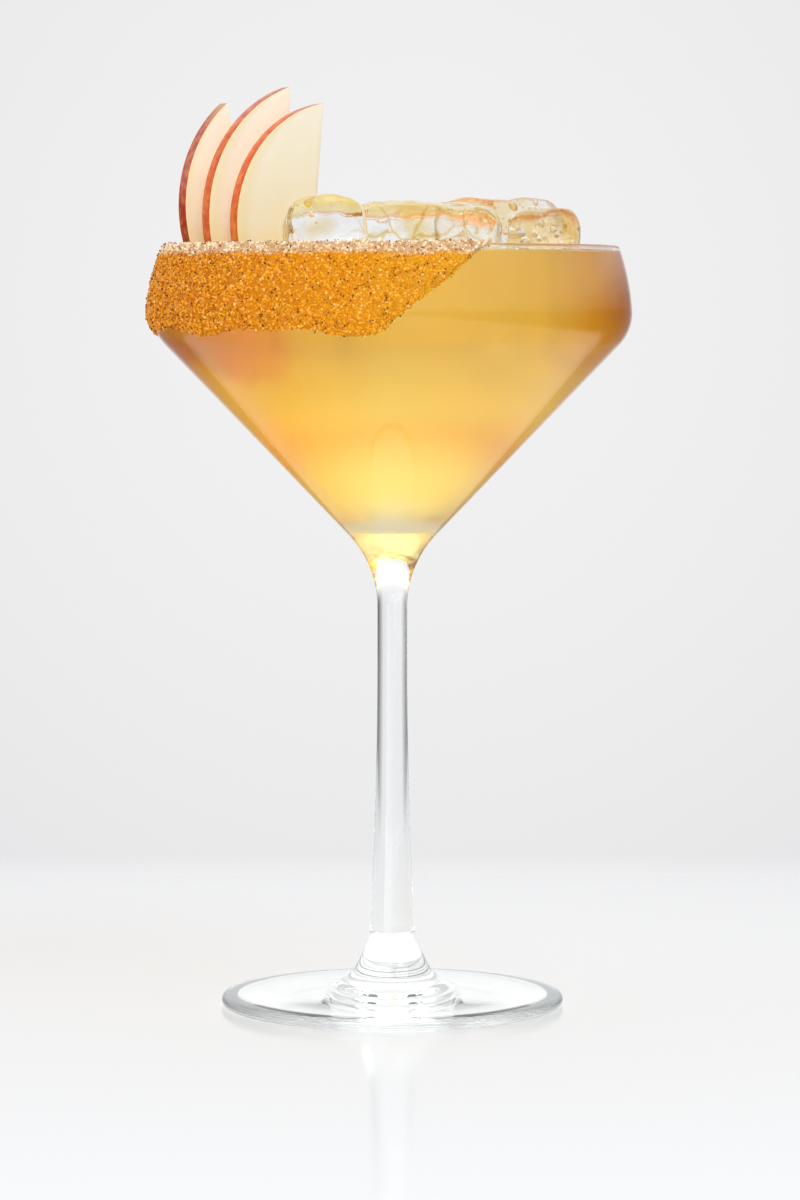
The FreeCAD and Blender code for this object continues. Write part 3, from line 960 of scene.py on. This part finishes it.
def crust_mesh(glass, crust, name):
    """The paste under the grains: a thin closed shell with an uneven edge."""
    path = crust_path(glass, crust)
    columns, rows = 520, 52
    mesh = bmesh.new()
    outside, inside = [], []
    for column in range(columns + 1):
        angle = crust.start + (crust.end - crust.start) * column / columns
        edge = crust_edge(crust, angle)
        first = next((i for i, p in enumerate(path) if p[0].y >= edge), len(path) - 10)
        first = min(first, len(path) - 10)
        outer, inner = [], []
        for row in range(rows + 1):
            spot = first + (len(path) - 1 - first) * row / rows
            low = int(spot)
            high = min(low + 1, len(path) - 1)
            part = spot - low
            place = path[low][0].lerp(path[high][0], part)
            way = path[low][1].lerp(path[high][1], part).normalized()
            thick = path[low][2] * (1 - part) + path[high][2] * part
            fade = min(1.0, 0.22 + 4.0 * row / rows) * min(1.0, 0.3 + 3.0 * (rows - row) / rows)
            fade *= min(1.0, 0.2 + 40 * min(column, columns - column) / columns)
            turn = angle - math.pi / 2
            lump = noise.noise(Vector((angle * 30, place.y / (1.6 * MM), 3.0)))
            lump += 0.6 * noise.noise(Vector((angle * 80, place.y / (0.6 * MM), 7.0)))
            reach = thick * fade * (0.62 + 0.16 * lump)
            for ring, shift in ((outer, max(0.05 * MM, reach)), (inner, -0.06 * MM)):
                spot_2d = place + way * shift
                ring.append(mesh.verts.new((
                    spot_2d.x * math.cos(turn), spot_2d.x * math.sin(turn), spot_2d.y)))
        outside.append(outer)
        inside.append(inner)
    for a, b in zip(range(columns), range(1, columns + 1)):
        for row in range(rows):
            above = row + 1
            mesh.faces.new((outside[a][row], outside[b][row], outside[b][above], outside[a][above]))
            mesh.faces.new((inside[a][above], inside[b][above], inside[b][row], inside[a][row]))
        mesh.faces.new((inside[a][0], inside[b][0], outside[b][0], outside[a][0]))
        mesh.faces.new((outside[a][rows], outside[b][rows], inside[b][rows], inside[a][rows]))
    for column, order in ((0, 1), (columns, -1)):
        for row in range(rows):
            corners = [outside[column][row], outside[column][row + 1],
                       inside[column][row + 1], inside[column][row]]
            mesh.faces.new(corners[::order])
    bmesh.ops.recalc_face_normals(mesh, faces=mesh.faces)
    return finished(mesh, name)


def crystal(name, kind):
    """One grain about a metre across, which the scatter scales down."""
    mesh = bmesh.new()
    if kind == "cube":
        bmesh.ops.create_cube(mesh, size=0.8)
        for vertex in mesh.verts:
            vertex.co *= 1 + 0.18 * noise.noise(vertex.co * 3 + Vector((2, 0, 0)))
    else:
        bmesh.ops.create_cone(
            mesh, cap_ends=True, segments=5, radius1=0.5, radius2=0.3, depth=0.35)
    return loose_object(name, finished(mesh, name))


def scatter_tree(name, grain, material):
    """Geometry Nodes that scatter grains over the crust's outside."""
    tree = bpy.data.node_groups.new(name, "GeometryNodeTree")
    face = tree.interface
    for label, kind in (("Geometry", "Geometry"), ("Density", "Float"), ("Size", "Float"),
                        ("Lift", "Float"), ("Seed", "Int")):
        face.new_socket(label, in_out="INPUT", socket_type="NodeSocket" + kind)
    face.new_socket("Geometry", in_out="OUTPUT", socket_type="NodeSocketGeometry")
    given = tree.nodes.new("NodeGroupInput")
    result = tree.nodes.new("NodeGroupOutput")
    outer = node(tree, "GeometryNodeInputNamedAttribute", {"data_type": "BOOLEAN", "Name": "outer"})
    points = node(tree, "GeometryNodeDistributePointsOnFaces", None,
                  Mesh=given.outputs["Geometry"], Density=given.outputs["Density"],
                  Seed=given.outputs["Seed"], Selection=outer.outputs["Attribute"])
    chance = node(tree, "FunctionNodeRandomValue", {"data_type": "FLOAT"},
                  Seed=given.outputs["Seed"])
    marked = node(tree, "GeometryNodeStoreNamedAttribute", {"Name": "grain_tone"},
                  Geometry=points.outputs["Points"], Value=chance.outputs[1])
    away = node(tree, "ShaderNodeVectorMath", {"operation": "SCALE"},
                Vector=points.outputs["Normal"], Scale=given.outputs["Lift"])
    lifted = node(tree, "GeometryNodeSetPosition", None,
                  Geometry=marked.outputs["Geometry"], Offset=away.outputs["Vector"])
    shape = node(tree, "GeometryNodeObjectInfo", {"Object": grain})
    spin = node(tree, "FunctionNodeRandomValue", {"data_type": "FLOAT_VECTOR"})
    spin.inputs[1].default_value = (2 * math.pi,) * 3
    scale = node(tree, "FunctionNodeRandomValue", {"data_type": "FLOAT_VECTOR"})
    scale.inputs[0].default_value = (0.55,) * 3
    scale.inputs[1].default_value = (1.25,) * 3
    sized = node(tree, "ShaderNodeVectorMath", {"operation": "SCALE"},
                 Vector=scale.outputs[0], Scale=given.outputs["Size"])
    placed = node(tree, "GeometryNodeInstanceOnPoints", None,
                  Points=lifted.outputs["Geometry"], Instance=shape.outputs["Geometry"],
                  Rotation=spin.outputs[0], Scale=sized.outputs[0])
    real = node(tree, "GeometryNodeRealizeInstances", None, Geometry=placed.outputs["Instances"])
    dressed = node(tree, "GeometryNodeSetMaterial", {"Material": material},
                   Geometry=real.outputs["Geometry"])
    tree.links.new(dressed.outputs["Geometry"], result.inputs["Geometry"])
    return tree


def scattered(name, surface, grain, material, per_square_cm, size, lift, seed):
    """A mesh of grains on a surface."""
    tree = scatter_tree(name + "_scatter", grain, material)
    holder = loose_object(name + "_work", surface.copy())
    nodes = holder.modifiers.new("scatter", "NODES")
    nodes.node_group = tree
    values = {"Density": per_square_cm * 1e4, "Size": size, "Lift": lift, "Seed": seed}
    for item in tree.interface.items_tree:
        if item.in_out == "INPUT" and item.name in values:
            nodes[item.identifier] = values[item.name]
    holder.data.update()
    return applied(holder, name)


class COCKTAIL_OT_crust(bpy.types.Operator):
    """Coats the rim with sugar and cinnamon"""
    bl_idname = "cocktail.crust"
    bl_label = "Sugar rim"

    def execute(self, context):
        glass = context.scene.cocktail_glass
        crust = context.scene.cocktail_crust
        paste = crust_mesh(glass, crust, "sugar_paste")
        outer = paste.attributes.new("outer", "BOOLEAN", "FACE")
        for face in paste.polygons:
            middle = face.center
            away = Vector((middle.x, middle.y, 0)).normalized()
            facing = face.normal.dot(away) > 0.05 or face.normal.z > 0.5
            outer.data[face.index].value = facing
        paste.materials.append(sugar_paste())
        coat = add_piece("sugar_paste", paste, ["sugar_crust"])
        cube = crystal("crystal_work", "cube")
        flake = crystal("flake_work", "flake")
        grains = scattered("sugar_grains", paste, cube, sugar_crystals(), crust.grain_count,
                           crust.grain, 0.0, 5)
        loose = add_piece("sugar_grains", grains, smooth=False)
        # Sugar lets light through, so neither dims the slices and the drink behind it.
        coat.visible_shadow = loose.visible_shadow = False
        specks = scattered("cinnamon_specks", paste, flake, ground_cinnamon(), crust.speck_count,
                           crust.speck, 0.65 * crust.grain, 11)
        add_piece("cinnamon_specks", specks, smooth=False)
        for work in (cube, flake):
            bpy.data.objects.remove(work)
        return {"FINISHED"}


class COCKTAIL_OT_stage(bpy.types.Operator):
    """Sets the table, the backdrop, the lights and the camera"""
    bl_idname = "cocktail.stage"
    bl_label = "Stage"

    def execute(self, context):
        stage = context.scene.cocktail_stage
        make_table()
        make_world(context.scene)
        make_lights()
        make_camera(context.scene, stage)
        context.scene.view_settings.view_transform = "Standard"
        cycles = context.scene.cycles
        cycles.max_bounces = cycles.transmission_bounces = 40
        cycles.glossy_bounces = 14
        cycles.transparent_max_bounces = 40
        return {"FINISHED"}


def make_table():
    """A glossy white table top, whose edges melt into the backdrop."""
    mesh = bmesh.new()
    near, far, side = -1.6, 0.30, 0.44
    bmesh.ops.create_grid(mesh, x_segments=2, y_segments=2, size=1.0)
    for vertex in mesh.verts:
        vertex.co.x *= side
        vertex.co.y = near + (far - near) * (vertex.co.y + 1) / 2
    data = finished(mesh, "table_top")
    material, tree, output = new_material("lacquered_table")
    place = object_place(tree)
    parts = axes(tree, place)
    aside = node(tree, "ShaderNodeMath", {"operation": "ABSOLUTE"}, i0=parts["X"])
    shader = node(tree, "ShaderNodeBsdfPrincipled", {
        "Base Color": srgb("F4F6F9"), "Roughness": 0.12, "IOR": 1.45})
    clear = node(tree, "ShaderNodeBsdfTransparent")
    back = node(tree, "ShaderNodeMapRange", {
        "interpolation_type": "SMOOTHSTEP", "From Min": 0.16, "From Max": 0.28},
        Value=parts["Y"])
    ends = node(tree, "ShaderNodeMapRange", {
        "interpolation_type": "SMOOTHSTEP", "From Min": 0.3, "From Max": 0.42},
        Value=aside.outputs[0])
    edge = node(tree, "ShaderNodeMath", {"operation": "MAXIMUM"},
                i0=back.outputs["Result"], i1=ends.outputs["Result"])
    shown = node(tree, "ShaderNodeMixShader", None, Fac=edge.outputs[0],
                 i1=shader.outputs[0], i2=clear.outputs[0])
    tree.links.new(shown.outputs[0], output.inputs["Surface"])
    data.materials.append(material)
    table = bpy.data.objects.new("table_top", data)
    bpy.context.scene.collection.objects.link(table)


def make_world(scene):
    """A pale studio: a bright backdrop, with darker walls beside it and a white ceiling.

    The camera sees the backdrop alone, a little darker towards its corners. Reflections
    see darker walls, so that clear edges don't turn pale.
    """
    world = bpy.data.worlds.new("pale_studio")
    scene.world = world
    world.use_nodes = True
    tree = world.node_tree
    tree.nodes.clear()
    output = tree.nodes.new("ShaderNodeOutputWorld")
    way = node(tree, "ShaderNodeTexCoord")
    parts = axes(tree, way.outputs["Generated"])
    walls = tone(tree, span(tree, parts["Y"], -1.0, 1.0), (0.0, "A0A0A0"),
                 (0.4, "989899"), (0.55, "6C6C6E"), (0.8, "747476"), (0.9, "C0C0C2"),
                 (0.95, "ECECEE"))
    room = mixed(tree, span(tree, parts["Z"], 0.04, 0.2), walls, srgb("F8F8F8"))
    lift = node(tree, "ShaderNodeMapRange", {
        "From Min": 0.08, "From Max": 0.26, "To Min": 1.0, "To Max": 1.16}, Value=parts["Z"])
    high = node(tree, "ShaderNodeMapRange", {
        "From Min": 0.45, "From Max": 0.7, "To Min": 1.0, "To Max": 0.85}, Value=parts["Z"])
    level = node(tree, "ShaderNodeMath", {"operation": "MULTIPLY"},
                 i0=lift.outputs["Result"], i1=high.outputs["Result"])
    through = node(tree, "ShaderNodeVectorMath", {"operation": "SCALE"},
                   Vector=room, Scale=level.outputs[0]).outputs["Vector"]
    backdrop = tone(tree, span(tree, parts["Y"], 0.955, 1.0), (0.0, "CECED1"),
                    (0.4, "DADADD"), (0.7, "E6E6E8"), (0.93, "EEEEEE"), (1.0, "F1F1F1"))
    path = node(tree, "ShaderNodeLightPath")
    dim = tone(tree, span(tree, parts["Y"], -1.0, 1.0), (0.0, "A0A0A0"),
               (0.4, "989899"), (0.55, "505052"), (0.8, "48484A"), (0.9, "606062"),
               (0.97, "909092"), (1.0, "ECECEE"))
    mirrored = mixed(tree, span(tree, parts["Z"], 0.04, 0.2), dim, srgb("F8F8F8"))
    clear = mixed(tree, path.outputs["Is Transmission Ray"], mirrored, through)
    lit = mixed(tree, path.outputs["Is Diffuse Ray"], clear, srgb("C0C0C0"))
    seen = mixed(tree, path.outputs["Is Camera Ray"], lit, backdrop)
    shade = node(tree, "ShaderNodeBackground", {"Strength": 1.0}, Color=seen)
    tree.links.new(shade.outputs[0], output.inputs["Surface"])


def make_lights():
    """A soft lamp at the front right, a larger one at the front left and one above."""
    lamps = (
        ("key_lamp", (0.50, -0.57, 1.10), 0.7, 3.6),
        ("front_lamp", (-0.55, -1.25, 0.45), 1.2, 10.0),
        ("top_lamp", (0.0, 0.25, 1.15), 1.3, 2.8),
    )
    for name, place, size, power in lamps:
        lamp = bpy.data.lights.new(name, "AREA")
        lamp.shape = "SQUARE"
        lamp.size = size
        lamp.energy = power
        holder = bpy.data.objects.new(name, lamp)
        bpy.context.scene.collection.objects.link(holder)
        holder.visible_camera = False
        target = Vector((0, 0, 0.12))
        holder.location = place
        holder.rotation_euler = (target - Vector(place)).to_track_quat("-Z", "Y").to_euler()


def make_camera(scene, stage):
    """A long lens a little below the rim's height, looking slightly down."""
    camera = bpy.data.cameras.new("camera")
    camera.lens = stage.focal_length
    camera.sensor_width = 36.0
    camera.clip_start = 0.05
    holder = bpy.data.objects.new("camera", camera)
    scene.collection.objects.link(holder)
    holder.location = (0.00176, -stage.camera_distance, stage.camera_height)
    holder.rotation_euler = (math.pi / 2 - stage.camera_tilt, 0, 0)
    scene.camera = holder


class COCKTAIL_PT_panel(bpy.types.Panel):
    """Lists the steps that build the drink"""
    bl_label = "Cocktail"
    bl_idname = "COCKTAIL_PT_panel"
    bl_space_type = "VIEW_3D"
    bl_region_type = "UI"
    bl_category = "Cocktail"

    def draw(self, context):
        for step in STEPS:
            self.layout.operator(step.bl_idname)


SETTINGS = {
    "cocktail_glass": GlassSettings, "cocktail_drink": DrinkSettings,
    "cocktail_ice": IceSettings, "cocktail_apple": AppleSettings,
    "cocktail_crust": CrustSettings, "cocktail_stage": StageSettings}
STEPS = (COCKTAIL_OT_stage, COCKTAIL_OT_glass, COCKTAIL_OT_ice, COCKTAIL_OT_apple,
         COCKTAIL_OT_crust, COCKTAIL_OT_drink, COCKTAIL_OT_bubbles)


def register():
    for group in SETTINGS.values():
        bpy.utils.register_class(group)
    for name, group in SETTINGS.items():
        setattr(bpy.types.Scene, name, PointerProperty(type=group))
    for step in STEPS + (COCKTAIL_PT_panel,):
        bpy.utils.register_class(step)


def unregister():
    for step in reversed(STEPS + (COCKTAIL_PT_panel,)):
        bpy.utils.unregister_class(step)
    for name in SETTINGS:
        delattr(bpy.types.Scene, name)
    for group in reversed(list(SETTINGS.values())):
        bpy.utils.unregister_class(group)


def main():
    register()
    for step in STEPS:
        family, name = step.bl_idname.split(".")
        getattr(getattr(bpy.ops, family), name)()


if __name__ == "__main__":
    main()
